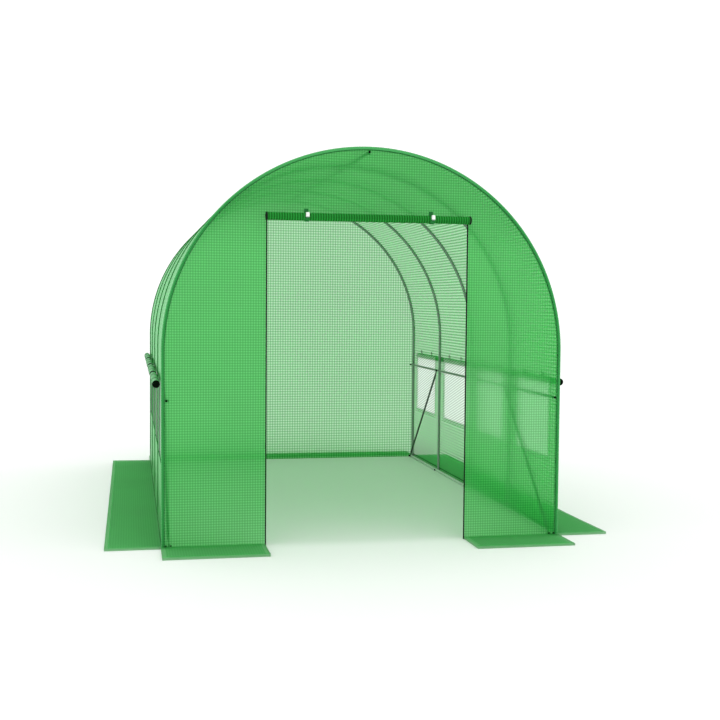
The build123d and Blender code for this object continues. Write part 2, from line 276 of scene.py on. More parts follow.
def plain_material(name, colour, roughness, mottle=0.1, scale=60.0, shine=0.5):
    """A solid material with a faint uneven tone and gloss; scale is the number of patches in a metre."""
    material, tree, output = new_material(name)
    where = add(tree, "ShaderNodeTexCoord")
    cloud = add(tree, "ShaderNodeTexNoise",
                {"Vector": where.outputs["Object"], "Scale": scale, "Detail": 4.0})
    value = add(tree, "ShaderNodeMapRange",
                {0: cloud.outputs[0], 1: NOISE_LOW, 2: NOISE_HIGH, 3: 1 - mottle, 4: 1 + mottle})
    tone = add(tree, "ShaderNodeHueSaturation", {"Value": value.outputs[0], "Color": linear(colour)})
    rough = add(tree, "ShaderNodeMapRange",
                {0: cloud.outputs[0], 1: NOISE_LOW, 2: NOISE_HIGH, 3: roughness * 0.85, 4: roughness * 1.15})
    shader = add(tree, "ShaderNodeBsdfPrincipled",
                 {"Base Color": tone.outputs[0], "Roughness": rough.outputs[0], "Specular IOR Level": shine})
    tree.links.new(shader.outputs[0], output.inputs[0])
    return material


def rolled_material(name, axis, colour, rib_colour, trim):
    """Rolled-up film: its cross tapes show as fine ribs round the roll, over soft creases along it.

    The ribs are as far apart as the film's real tapes.
    """
    material, tree, output = new_material(name)
    where = add(tree, "ShaderNodeTexCoord")
    scaled = add(tree, "ShaderNodeVectorMath", {0: where.outputs["Object"], 1: (1 / trim.rib_pitch,) * 3},
                 operation="MULTIPLY")
    rib = thread_lines(tree, scaled.outputs[0], axis, 0.22, 0.44)
    # Creases run along the roll, so the noise is thirty times finer across it
    stretch = (2.0, 60.0, 60.0) if axis == "X" else (60.0, 2.0, 60.0)
    along = add(tree, "ShaderNodeMapping", {0: where.outputs["Object"], "Scale": stretch})
    crease = add(tree, "ShaderNodeTexNoise", {"Vector": along.outputs[0], "Scale": 1.0, "Detail": 2.0})
    tone = add(tree, "ShaderNodeMix", {0: rib, 6: linear(colour), 7: linear(rib_colour)}, data_type="RGBA")
    shade = add(tree, "ShaderNodeMapRange",
                {0: crease.outputs[0], 1: NOISE_LOW, 2: NOISE_HIGH, 3: 0.85, 4: 1.15})
    toned = add(tree, "ShaderNodeHueSaturation", {"Value": shade.outputs[0], "Color": tone.outputs[2]})
    height = add(tree, "ShaderNodeMath", {0: rib, 1: crease.outputs[0]}, operation="ADD")
    bump = add(tree, "ShaderNodeBump", {"Strength": 0.5, "Distance": 1 * MM, "Height": height.outputs[0]})
    shader = add(tree, "ShaderNodeBsdfPrincipled",
                 {"Base Color": toned.outputs[0], "Roughness": 0.5, "Specular IOR Level": 0.1,
                  "Normal": bump.outputs[0]})
    tree.links.new(shader.outputs[0], output.inputs[0])
    return material


def net_material(trim):
    """Knitted polyester mosquito net: white threads whose thick courses run on the slant.

    The real mesh is about 1.2 mm and too fine to show, so the slanted bars are drawn at net_pitch. The
    finer threads between the bars are left to their share of the cover.
    """
    material, tree, output = new_material("knitted_net")
    slant = math.radians(16)
    bar_cover = 0.9
    mesh_cover = 0.5
    uv = add(tree, "ShaderNodeUVMap", uv_map="UVMap")
    turned = add(tree, "ShaderNodeMapping", {0: uv.outputs[0], "Rotation": (0, 0, slant),
                                             "Scale": (1 / trim.net_pitch,) * 3})
    bars = thread_lines(tree, turned.outputs[0], "Y", 0.2, 0.34)
    cover = add(tree, "ShaderNodeMapRange", {0: bars, 1: 0.0, 2: 1.0, 3: mesh_cover, 4: bar_cover})
    colour = linear(trim.net_colour)
    thread = add(tree, "ShaderNodeBsdfDiffuse", {"Color": colour})
    glow = add(tree, "ShaderNodeBsdfTranslucent", {"Color": colour})
    lit = add(tree, "ShaderNodeMixShader", {0: 0.5, 1: thread.outputs[0], 2: glow.outputs[0]})
    clear = add(tree, "ShaderNodeBsdfTransparent")
    mixed = add(tree, "ShaderNodeMixShader", {0: cover.outputs[0], 1: clear.outputs[0], 2: lit.outputs[0]})
    tree.links.new(mixed.outputs[0], output.inputs[0])
    return material


def sleeve_material(trim):
    """Doubled film sewn round an end hoop, in painted light: painted shade down the legs and paler over the
    arch, nearer the light.
    """
    material, tree, output = new_material("arch_sleeve")
    where = add(tree, "ShaderNodeTexCoord")
    split = add(tree, "ShaderNodeSeparateXYZ", {0: where.outputs["Object"]})
    high = add(tree, "ShaderNodeMapRange", {0: split.outputs["Z"], 1: EAVES + HALF_WIDTH * 0.7,
                                            2: EAVES + HALF_WIDTH * 0.98, 3: 0.0, 4: 1.0})
    tone = add(tree, "ShaderNodeMix",
               {0: high.outputs[0], 6: linear(trim.sleeve_leg_shade), 7: linear(trim.sleeve_arch_light)},
               data_type="RGBA")
    shader = add(tree, "ShaderNodeBsdfPrincipled",
                 {"Base Color": tone.outputs[2], "Roughness": 0.55, "Specular IOR Level": 0.15})
    tree.links.new(shader.outputs[0], output.inputs[0])
    return material


def finish(name, bm, materials, smooth=True):
    """Turns a bmesh into a piece of the object that rides on the frame."""
    mesh = bpy.data.meshes.new(name)
    bm.to_mesh(mesh)
    bm.free()
    for each in materials:
        mesh.materials.append(each)
    for polygon in mesh.polygons:
        polygon.use_smooth = smooth
    return placed(name, mesh)


def placed(name, mesh):
    """Makes a mesh a piece that rides on the frame."""
    piece = bpy.data.objects.new(name, mesh)
    bpy.context.scene.collection.objects.link(piece)
    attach(piece, BODY)
    return piece


def ticks(stops, step):
    """Positions from the first stop to the last that hit every stop, at most step apart."""
    found = [stops[0]]
    for start, end in zip(stops, stops[1:]):
        count = max(1, math.ceil((end - start) / step - 1e-6))
        found += [start + (end - start) * (i + 1) / count for i in range(count)]
    return found


def grid_sheet(across, along, place, uv_of, kept=None, slot_of=None):
    """A sheet of quads over two lists of positions, without the cells that are cut out."""
    bm = bmesh.new()
    layer = bm.loops.layers.uv.new("UVMap")
    points = {}

    def point(i, j):
        if (i, j) not in points:
            points[i, j] = bm.verts.new(place(across[i], along[j]))
        return points[i, j]

    for i in range(len(across) - 1):
        for j in range(len(along) - 1):
            middle = ((across[i] + across[i + 1]) / 2, (along[j] + along[j + 1]) / 2)
            if kept and not kept(*middle):
                continue
            corners = [(i, j), (i + 1, j), (i + 1, j + 1), (i, j + 1)]
            face = bm.faces.new([point(*c) for c in corners])
            if slot_of:
                face.material_index = slot_of(*middle)
            for loop, (a, b) in zip(face.loops, corners):
                loop[layer].uv = uv_of(across[a], along[b])
    return bm


def flat_panels(name, panels, material):
    """Upright panels across X in one piece; each is an x, a span of y and a span of z."""
    bm = bmesh.new()
    layer = bm.loops.layers.uv.new("UVMap")
    for x, (y0, y1), (z0, z1) in panels:
        corners = [(y0, z0), (y1, z0), (y1, z1), (y0, z1)]
        if x < 0:
            corners.reverse()
        face = bm.faces.new([bm.verts.new((x, y, z)) for y, z in corners])
        for loop, corner in zip(face.loops, corners):
            loop[layer].uv = corner
    return finish(name, bm, [material], smooth=False)


def node_group(name, sizes, counts=()):
    """An empty Geometry Nodes tree with a mesh in, named sizes, counts and a material, and a mesh out."""
    group = bpy.data.node_groups.new(name, "GeometryNodeTree")
    group.interface.new_socket("Geometry", in_out="INPUT", socket_type="NodeSocketGeometry")
    for label in sizes:
        group.interface.new_socket(label, in_out="INPUT", socket_type="NodeSocketFloat")
    for label in counts:
        group.interface.new_socket(label, in_out="INPUT", socket_type="NodeSocketInt")
    group.interface.new_socket("Material", in_out="INPUT", socket_type="NodeSocketMaterial")
    group.interface.new_socket("Geometry", in_out="OUTPUT", socket_type="NodeSocketGeometry")
    return group, add(group, "NodeGroupInput").outputs


def close_group(group, given, repeated):
    """Ends a tree: instances become real, take the material and leave through the output."""
    real = add(group, "GeometryNodeRealizeInstances", {"Geometry": repeated})
    dressed = add(group, "GeometryNodeSetMaterial",
                  {"Geometry": real.outputs[0], "Material": given["Material"]})
    add(group, "NodeGroupOutput", {"Geometry": dressed.outputs[0]})
    return group


def stitch_group():
    """Short blocks along a path, such as stitches, zip teeth and the scallops of a hem; made once."""
    name = "stitches_along_a_seam"
    if name in bpy.data.node_groups:
        return bpy.data.node_groups[name]
    group, given = node_group(name, ("Pitch", "Length", "Width", "Height"))
    path = add(group, "GeometryNodeMeshToCurve", {"Mesh": given["Geometry"]})
    points = add(group, "GeometryNodeCurveToPoints", {"Curve": path.outputs[0], "Length": given["Pitch"]},
                 mode="LENGTH")
    size = add(group, "ShaderNodeCombineXYZ",
               {"X": given["Width"], "Y": given["Height"], "Z": given["Length"]})
    block = add(group, "GeometryNodeMeshCube", {"Size": size.outputs[0]})
    repeated = add(group, "GeometryNodeInstanceOnPoints",
                   {"Points": points.outputs["Points"], "Instance": block.outputs["Mesh"],
                    "Rotation": points.outputs["Rotation"]})
    return close_group(group, given, repeated.outputs[0])


def fastener_group():
    """A washer with a head on it at every point, turned to the point's outward attribute; made once."""
    name = "fasteners_on_points"
    if name in bpy.data.node_groups:
        return bpy.data.node_groups[name]
    sizes = ("Washer Radius", "Washer Thickness", "Head Radius", "Head Height")
    group, given = node_group(name, sizes, ("Head Sides",))
    outward = add(group, "GeometryNodeInputNamedAttribute", {"Name": "outward"}, data_type="FLOAT_VECTOR")
    turn = add(group, "FunctionNodeAlignRotationToVector", {"Vector": outward.outputs["Attribute"]}, axis="Z")
    joined = add(group, "GeometryNodeJoinGeometry")
    half_washer = add(group, "ShaderNodeMath", {0: given["Washer Thickness"], 1: 0.5}, operation="MULTIPLY")
    half_head = add(group, "ShaderNodeMath", {0: given["Head Height"], 1: 0.5}, operation="MULTIPLY")
    head_middle = add(group, "ShaderNodeMath", {0: half_head.outputs[0], 1: given["Washer Thickness"]},
                      operation="ADD")
    washer = add(group, "GeometryNodeMeshCylinder",
                 {"Vertices": 20, "Radius": given["Washer Radius"], "Depth": given["Washer Thickness"]})
    head = add(group, "GeometryNodeMeshCylinder",
               {"Vertices": given["Head Sides"], "Radius": given["Head Radius"],
                "Depth": given["Head Height"]})
    for solid, middle in ((washer, half_washer), (head, head_middle)):
        lift = add(group, "ShaderNodeCombineXYZ", {"Z": middle.outputs[0]})
        raised = add(group, "GeometryNodeTransform",
                     {"Geometry": solid.outputs["Mesh"], "Translation": lift.outputs[0]})
        group.links.new(raised.outputs[0], joined.inputs[0])
    repeated = add(group, "GeometryNodeInstanceOnPoints",
                   {"Points": given["Geometry"], "Instance": joined.outputs[0], "Rotation": turn.outputs[0]})
    return close_group(group, given, repeated.outputs[0])


def repeated_piece(name, seed, group, material, sizes):
    """Runs a Geometry Nodes tree on a seed mesh and keeps the result as a plain mesh piece."""
    holder = bpy.data.objects.new(name + "_seed", seed)
    bpy.context.scene.collection.objects.link(holder)
    modifier = holder.modifiers.new(group.name, "NODES")
    modifier.node_group = group
    values = {**sizes, "Material": material}
    for item in group.interface.items_tree:
        if item.in_out == "INPUT" and item.name in values:
            modifier[item.identifier] = values[item.name]
    depsgraph = bpy.context.evaluated_depsgraph_get()
    mesh = bpy.data.meshes.new_from_object(holder.evaluated_get(depsgraph), depsgraph=depsgraph)
    holder.modifiers.remove(modifier)
    bpy.data.objects.remove(holder)
    if not mesh.polygons:
        raise RuntimeError(f"{name} came out empty")
    return placed(name, mesh)


def path_seed(name, paths):
    """A mesh of separate open chains of points."""
    points = []
    links = []
    for path in paths:
        links += [(len(points) + i, len(points) + i + 1) for i in range(len(path) - 1)]
        points += [tuple(p) for p in path]
    mesh = bpy.data.meshes.new(name)
    mesh.from_pydata(points, links, [])
    return mesh


def point_seed(name, places):
    """A mesh of loose points, each with the way it faces in its outward attribute."""
    mesh = bpy.data.meshes.new(name)
    mesh.from_pydata([tuple(place) for place, way in places], [], [])
    outward = mesh.attributes.new("outward", "FLOAT_VECTOR", "POINT")
    for index, (place, way) in enumerate(places):
        outward.data[index].vector = way
    return mesh


def arch_path(reach, y):
    """Points up the left wall, over the arch and down the right wall."""
    path = [Vector((-reach, y, ARCH_FOOT))]
    for i in range(ARCH_STEPS + 1):
        angle = math.pi * (1 - i / ARCH_STEPS)
        path.append(Vector((reach * math.cos(angle), y, EAVES + reach * math.sin(angle))))
    path.append(Vector((reach, y, ARCH_FOOT)))
    return path


def hoop_pull(y):
    """0 on a hoop and 1 halfway between two hoops."""
    for start, end in zip(HOOP_YS, HOOP_YS[1:]):
        if start <= y <= end:
            return math.sin(math.pi * (y - start) / (end - start)) ** 2
    return 0.0


def hoop_drop(y):
    """0 on the hoops and 1 past the small fold beside each one, where the film has come off the tube."""
    if not HOOP_YS[0] < y < HOOP_YS[-1]:
        return 0.0
    film = bpy.context.scene.tunnel_film
    share = min(1.0, min(abs(y - hoop_y) for hoop_y in HOOP_YS) / film.fold_reach)
    return share * share * (3 - 2 * share)


def cover_point(s, y):
    """A point of the cover: s runs up the left wall, over the arch and down the right wall."""
    film = bpy.context.scene.tunnel_film
    pull = hoop_pull(y)
    ridge = film.hoop_ridge * hoop_drop(y)
    if s <= EAVES or s >= EAVES + ARCH_LENGTH:
        z = min(s, GIRTH - s)
        held = min(1.0, z / film.foot_reach)
        x = SKIN - ridge * held - film.wall_sag * pull * min(1, z / EAVES * 2)
        return Vector((x if s > EAVES else -x, y, z))
    angle = (s - EAVES) / SKIN
    blend = math.sin(angle)
    sag = (film.wall_sag * (1 - blend) + film.roof_sag * blend) * pull
    radius = SKIN - ridge - sag
    return Vector((-radius * math.cos(angle), y, EAVES + radius * math.sin(angle)))


def in_window(s, y):
    """True inside one of the window holes of either wall."""
    z = s if s < EAVES else GIRTH - s
    return SILL < z < WINDOW_TOP and any(a < y < b for a, b in WINDOWS)


def past_wall(x, y):
    """How far a point of the ground lies outside the cover."""
    return max(abs(x) - HALF_WIDTH, abs(y) - BACK_Y, 0.0)


def skirt_point(x, y):
    """A point of a ground skirt: stiff film that curls off the ground a little, with a slight ripple."""
    film = bpy.context.scene.tunnel_film
    ripple = noise.noise(Vector((x * RIPPLE_WAVES, y * RIPPLE_WAVES, 0.5)))
    return Vector((x, y, film.skirt_lift + SKIRT_RIPPLE * past_wall(x, y) * ripple))


class TunnelFilm(bpy.types.PropertyGroup):
    front_pitch: FloatProperty(name="Front weave pitch", default=12.5 * MM, unit="LENGTH",
                               description="Distance between the front sheet's tapes")
    cell_colour: StringProperty(name="Front cell colour", default="#40E260",
                                description="Colour of the film between the tapes, as sRGB hex")
    tape_colour: StringProperty(name="Front tape colour", default="#31B74D",
                                description="Colour of the woven tapes, as sRGB hex")
    cell_open: FloatProperty(name="Front cell see-through", default=0.37, subtype="FACTOR",
                             description="Share of light that passes between the tapes")
    tape_open: FloatProperty(name="Front tape see-through", default=0.2, subtype="FACTOR",
                             description="Share of light that passes through the tapes")
    header_light: FloatProperty(name="Header light", default=0.83, subtype="FACTOR",
                                description="Brightness of the front film over the doorway")
    cover_pitch: FloatProperty(name="Cover weave pitch", default=19 * MM, unit="LENGTH",
                               description="Distance between the cover's tapes")
    cover_cell: StringProperty(name="Cover cell colour", default="#3DD458",
                               description="Colour between the tapes of cover and back, as sRGB hex")
    cover_tape: StringProperty(name="Cover tape colour", default="#29A443",
                               description="Colour of the tapes of cover and back, as sRGB hex")
    cover_cell_open: FloatProperty(name="Cover cell see-through", default=0.40, subtype="FACTOR",
                                   description="Share of light that passes between the cover's tapes")
    cover_tape_open: FloatProperty(name="Cover tape see-through", default=0.13, subtype="FACTOR",
                                   description="Share of light that passes through the cover's tapes")
    sheen: FloatProperty(name="Sheen", default=0.46, subtype="FACTOR",
                         description="Strength of the cover's gloss when seen edge on")
    sheen_colour: StringProperty(name="Sheen colour", default="#BCFFC8",
                                 description="Colour of the cover's gloss, as sRGB hex")
    foot_light: FloatProperty(name="Foot light", default=0.7, subtype="FACTOR",
                              description="Brightness of the cover beside the skirts")
    # Painted shade: the darker colour of the film over the hoops
    fold_shade_colour: StringProperty(name="Fold colour", default="#1E9A3A",
                                description="Colour of the film over the hoops, as sRGB hex")
    # The window edging's real doubled film and the painted shade over the hoops both use these two
    doubled_and_shade_cell_open: FloatProperty(name="Doubled cell see-through", default=0.1, subtype="FACTOR",
                                     description="Light that passes between the tapes of folded film")
    doubled_and_shade_tape_open: FloatProperty(name="Doubled tape see-through", default=0.05, subtype="FACTOR",
                                     description="Light that passes through the tapes of folded film")
    back_pitch: FloatProperty(name="Back weave pitch", default=18.8 * MM, unit="LENGTH",
                              description="Distance between the back sheet's tapes")
    back_cell_open: FloatProperty(name="Back cell see-through", default=0.42, subtype="FACTOR",
                                  description="Share of light that passes between the back's tapes")
    back_tape_open: FloatProperty(name="Back tape see-through", default=0.14, subtype="FACTOR",
                                  description="Share of light that passes through the back's tapes")
    milky_share: FloatProperty(name="Milkiness", default=0.75, subtype="FACTOR",
                               description="Share of the see-through that is blurred")
    glow_share: FloatProperty(name="Glow", default=0.6, subtype="FACTOR",
                              description="Share of the scattered light that goes through")
    image_share: FloatProperty(name="Image", default=0.7, subtype="FACTOR",
                               description="Share of the glow that still shows what lies behind")
    blur: FloatProperty(name="Blur", default=0.8, subtype="FACTOR",
                        description="Roughness that blurs what lies behind the film")
    wall_sag: FloatProperty(name="Wall sag", default=1 * MM, unit="LENGTH",
                            description="How far a wall pulls in between two hoops")
    roof_sag: FloatProperty(name="Roof sag", default=6 * MM, unit="LENGTH",
                            description="How far the roof pulls in between two hoops")
    hoop_ridge: FloatProperty(name="Hoop ridge", default=5 * MM, unit="LENGTH",
                              description="How far the film stands up over each hoop")
    fold_reach: FloatProperty(name="Fold reach", default=12 * MM, unit="LENGTH",
                              description="From a hoop to where the film is off it")
    foot_reach: FloatProperty(name="Foot reach", default=100 * MM, unit="LENGTH",
                              description="Height over which the ridges fade at the ground")
    skirt_lift: FloatProperty(name="Skirt lift", default=11 * MM, unit="LENGTH",
                              description="How far the stiff skirts stand off the ground")
    hem_width: FloatProperty(name="Skirt hem width", default=20 * MM, unit="LENGTH",
                             description="Width of the folded hem of a skirt")
    skirt_cell: StringProperty(name="Skirt cell colour", default="#4FC965",
                               description="Colour between the skirts' tapes, as sRGB hex")
    skirt_tape: StringProperty(name="Skirt tape colour", default="#45B95C",
                               description="Colour of the skirts' tapes, as sRGB hex")
    skirt_cell_open: FloatProperty(name="Skirt cell see-through", default=0.27, subtype="FACTOR",
                                   description="Share of light that passes between the skirts' tapes")
    skirt_tape_open: FloatProperty(name="Skirt tape see-through", default=0.23, subtype="FACTOR",
                                   description="Share of light that passes through the skirts' tapes")
    rim_cell_open: FloatProperty(name="Rim cell see-through", default=0.35, subtype="FACTOR",
                                 description="Share of light that passes between the tapes of a rim")
    rim_tape_open: FloatProperty(name="Rim tape see-through", default=0.3, subtype="FACTOR",
                                 description="Share of light that passes through the tapes of a rim")
    hem_open: FloatProperty(name="Turned hem see-through", default=0.3, subtype="FACTOR",
                            description="Share of light that passes through a turned-down hem")
    # Rim and hem colours are painted light: paler where light comes in from under the skirts' edges
    rim_light_colour: StringProperty(name="Skirt rim colour", default="#5CC86E",
                               description="Colour of the skirts' outer rim, as sRGB hex")
    hem_light_colour: StringProperty(name="Turned hem colour", default="#84C28C",
                               description="Colour of the skirts' turned-down hems, as sRGB hex")


class TunnelSteel(bpy.types.PropertyGroup):
    tube_colour: StringProperty(name="Tube colour", default="#8D9993",
                                description="Colour of the coated tubes, as sRGB hex")
    # Purlins, rails and braces share one coat, coloured with painted light: shade on the purlins and braces,
    # light on the rails
    purlin_shade_colour: StringProperty(name="Purlin colour", default="#75827A",
                                  description="Colour of the purlins, as sRGB hex")
    rail_light_colour: StringProperty(name="Rail colour", default="#CBD6CE",
                                description="Colour of the base rails, as sRGB hex")
    brace_shade_colour: StringProperty(name="Brace colour", default="#3C4A41",
                                 description="Colour of the braces, as sRGB hex")
    bolt_colour: StringProperty(name="Bolt colour", default="#050806",
                                description="Colour of the bolts, as sRGB hex")
    bolt_head: FloatProperty(name="Bolt head radius", default=5.5 * MM, unit="LENGTH",
                             description="Radius over the corners of a bolt head")
    bolt_height: FloatProperty(name="Bolt head height", default=4.5 * MM, unit="LENGTH",
                               description="Height of a bolt head")
    washer: FloatProperty(name="Washer radius", default=7 * MM, unit="LENGTH",
                          description="Radius of the washer under a bolt head")
    brace_hole: FloatProperty(name="Brace hole inset", default=9.6 * MM, unit="LENGTH",
                              description="From a brace's outline to its bolt hole")


class TunnelTrim(bpy.types.PropertyGroup):
    sleeve_width: FloatProperty(name="Sleeve width", default=14 * MM, unit="LENGTH",
                                description="Width of the sleeve over the end hoops")
    # The sleeve's two colours are painted light: shade down the legs, light over the arch
    sleeve_leg_shade: StringProperty(name="Sleeve colour, legs", default="#268A3E",
                               description="Colour of the sleeve down the legs")
    sleeve_arch_light: StringProperty(name="Sleeve colour, arch", default="#46A559",
                                description="Colour of the sleeve over the arch")
    foot_seam: FloatProperty(name="Foot seam height", default=5 * MM, unit="LENGTH",
                             description="Height of the wall's foot seam over the rail")
    stitch_pitch: FloatProperty(name="Stitch pitch", default=7 * MM, unit="LENGTH",
                                description="Distance from one stitch to the next")
    tooth_pitch: FloatProperty(name="Tooth pitch", default=3 * MM, unit="LENGTH",
                               description="Distance from one zip tooth to the next")
    tab_width: FloatProperty(name="Tie tab width", default=16 * MM, unit="LENGTH",
                             description="Width of the tabs sewn on behind the ties")
    tab_length: FloatProperty(name="Tie tab length", default=25 * MM, unit="LENGTH",
                              description="Length of the tabs sewn on behind the ties")
    edging: FloatProperty(name="Window edging", default=9 * MM, unit="LENGTH",
                          description="Width of the strips beside a window")
    rib_pitch: FloatProperty(name="Rib pitch", default=12.5 * MM, unit="LENGTH",
                             description="Distance between the ribs of a roll")
    net_pitch: FloatProperty(name="Net pitch", default=17 * MM, unit="LENGTH",
                             description="Distance between the net's slanted threads")
    cap_radius: FloatProperty(name="Roll cap radius", default=18.5 * MM, unit="LENGTH",
                              description="Radius of the discs that end a window roll")
    link_radius: FloatProperty(name="Roll link radius", default=16 * MM, unit="LENGTH",
                               description="Radius of the sleeves between window rolls")
    net_recess: FloatProperty(name="Net recess", default=6 * MM, unit="LENGTH",
                              description="How far the nets lie behind the film")
    net_colour: StringProperty(name="Net colour", default="#D6E6D9",
                               description="Colour of the nets, as sRGB hex")
    roll_colour: StringProperty(name="Roll colour", default="#076414",
                                description="Colour of the rolled film, as sRGB hex")
    rib_colour: StringProperty(name="Rib colour", default="#26983A",
                               description="Colour of the ribs of a roll, as sRGB hex")
    flap_colour: StringProperty(name="Flap colour", default="#2E9848",
                                description="Colour of the rolled flaps, as sRGB hex")
    flap_rib_colour: StringProperty(name="Flap rib colour", default="#82CC90",
                                    description="Colour of the flaps' ribs, as sRGB hex")
    webbing_colour: StringProperty(name="Webbing colour", default="#1F7434",
                                   description="Colour of straps and ties, as sRGB hex")
    tie_colour: StringProperty(name="Tie colour", default="#0B2E14",
                               description="Colour of the flaps' ties and tabs, as sRGB hex")
    thread_colour: StringProperty(name="Thread colour", default="#14602A",
                                  description="Colour of the sewing thread, as sRGB hex")
    tape_colour: StringProperty(name="Zip tape colour", default="#141C16",
                                description="Colour of the zips' tape, as sRGB hex")
    tooth_colour: StringProperty(name="Zip tooth colour", default="#101713",
                                 description="Colour of the zips' teeth, as sRGB hex")
    toggle_colour: StringProperty(name="Toggle colour", default="#F4F6F3",
                                  description="Colour of the door's toggles, as sRGB hex")
    # Painted shade: the grey-green of each toggle's lower part
    toggle_shade_colour: StringProperty(name="Toggle cord colour", default="#6F8F78",
                                description="Colour of the cord end under a toggle, as sRGB hex")
    binding_colour: StringProperty(name="Binding colour", default="#57AE68",
                                   description="Colour of the binding round the end arches, as sRGB hex")
    black: StringProperty(name="Black", default="#041006",
                          description="Colour of zips, caps and pegs, as sRGB hex")


class TunnelStage(bpy.types.PropertyGroup):
    sky_strength: FloatProperty(name="Sky strength", default=1.15,
                                description="Strength of the even white light")
    floor_colour: StringProperty(name="Floor colour", default="#FBFDFB",
                                 description="Colour of the floor, as sRGB hex")
    indoor_colour: StringProperty(name="Indoor floor colour", default="#EAF0EA",
                                  description="Floor inside the tunnel, as sRGB hex")
    floor_size: FloatProperty(name="Floor size", default=80.0, unit="LENGTH",
                              description="Length of the floor's side")


class TunnelOperator:
    """What the operators share"""
    bl_options = {"REGISTER"}


class TUNNEL_OT_stage(TunnelOperator, bpy.types.Operator):
    """Sets the pale floor, the even white light and the camera"""
    bl_idname = "tunnel.stage"
    bl_label = "Stage"

    def execute(self, context):
        stage = context.scene.tunnel_stage
        # Matt white board: even and without a mirror image, a little greyer where the tunnel keeps light off
        edge = 100 * MM
        material, tree, output = new_material("matt_floor")
        where = add(tree, "ShaderNodeTexCoord")
        split = add(tree, "ShaderNodeSeparateXYZ", {0: where.outputs["Object"]})
        shares = []
        for axis, reach in (("X", HALF_WIDTH), ("Y", BACK_Y)):
            away = add(tree, "ShaderNodeMath", {0: split.outputs[axis]}, operation="ABSOLUTE")
            share = add(tree, "ShaderNodeMapRange",
                        {0: away.outputs[0], 1: reach - edge, 2: reach + edge, 3: 1.0, 4: 0.0},
                        interpolation_type="SMOOTHSTEP")
            shares.append(share.outputs[0])
        indoors = add(tree, "ShaderNodeMath", {0: shares[0], 1: shares[1]}, operation="MULTIPLY")
        tone = add(tree, "ShaderNodeMix", {0: indoors.outputs[0], 6: linear(stage.floor_colour),
                                           7: linear(stage.indoor_colour)}, data_type="RGBA")
        shader = add(tree, "ShaderNodeBsdfDiffuse", {"Color": tone.outputs[2]})
        tree.links.new(shader.outputs[0], output.inputs[0])
        half = stage.floor_size / 2
        corners = [(-half, -half, 0), (half, -half, 0), (half, half, 0), (-half, half, 0)]
        mesh = bpy.data.meshes.new("floor")
        mesh.from_pydata(corners, [], [(0, 1, 2, 3)])
        mesh.materials.append(material)
        floor = bpy.data.objects.new("floor", mesh)
        context.scene.collection.objects.link(floor)

        world = bpy.data.worlds.new("even_sky")
        world.use_nodes = True
        sky = world.node_tree
        sky.nodes.clear()
        light = add(sky, "ShaderNodeBackground", {"Color": (1, 1, 1, 1), "Strength": stage.sky_strength})
        add(sky, "ShaderNodeOutputWorld", {0: light.outputs[0]})
        context.scene.world = world

        camera_data = bpy.data.cameras.new("camera")
        camera_data.sensor_width = 36
        camera_data.lens = CAMERA_LENS
        camera = bpy.data.objects.new("camera", camera_data)
        forward = Vector((math.sin(CAMERA_YAW) * math.cos(CAMERA_PITCH),
                          math.cos(CAMERA_YAW) * math.cos(CAMERA_PITCH), math.sin(CAMERA_PITCH)))
        level = Vector((math.cos(CAMERA_YAW), -math.sin(CAMERA_YAW), 0))
        upright = level.cross(forward)
        right = level * math.cos(CAMERA_ROLL) + upright * math.sin(CAMERA_ROLL)
        up = upright * math.cos(CAMERA_ROLL) - level * math.sin(CAMERA_ROLL)
        turn = Matrix((right, up, -forward)).transposed().to_4x4()
        camera.matrix_world = Matrix.Translation(CAMERA_PLACE) @ turn
        context.scene.collection.objects.link(camera)
        context.scene.camera = camera
        context.scene.view_settings.view_transform = "Standard"
        return {"FINISHED"}


class TUNNEL_OT_frame(TunnelOperator, bpy.types.Operator):
    """Gives the bent steel tubes their satin coat"""
    bl_idname = "tunnel.frame"
    bl_label = "Steel frame"

    def execute(self, context):
        steel = context.scene.tunnel_steel
        # Zinc-coated steel tube with a satin lacquer: a smooth grey that takes up the green round it. The
        # rails' paler grey is painted light, and the purlins' and braces' darker greys are painted shade
        for starts, name, colour in ((("hoop_",), "hoop_tube", steel.tube_colour),
                                     (("ridge_", "side_purlin"), "purlin_tube", steel.purlin_shade_colour),
                                     (("base_rail",), "rail_tube", steel.rail_light_colour),
                                     (("brace_",), "brace_tube", steel.brace_shade_colour)):
            paint(starts, plain_material(name, colour, 0.4, mottle=0.08, scale=140))
        return {"FINISHED"}


def paint(starts, material):
    """Gives one material to every CAD node whose name starts in one of these ways."""
    for name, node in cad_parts.items():
        if name.startswith(starts):
            node.data.materials.clear()
            node.data.materials.append(material)


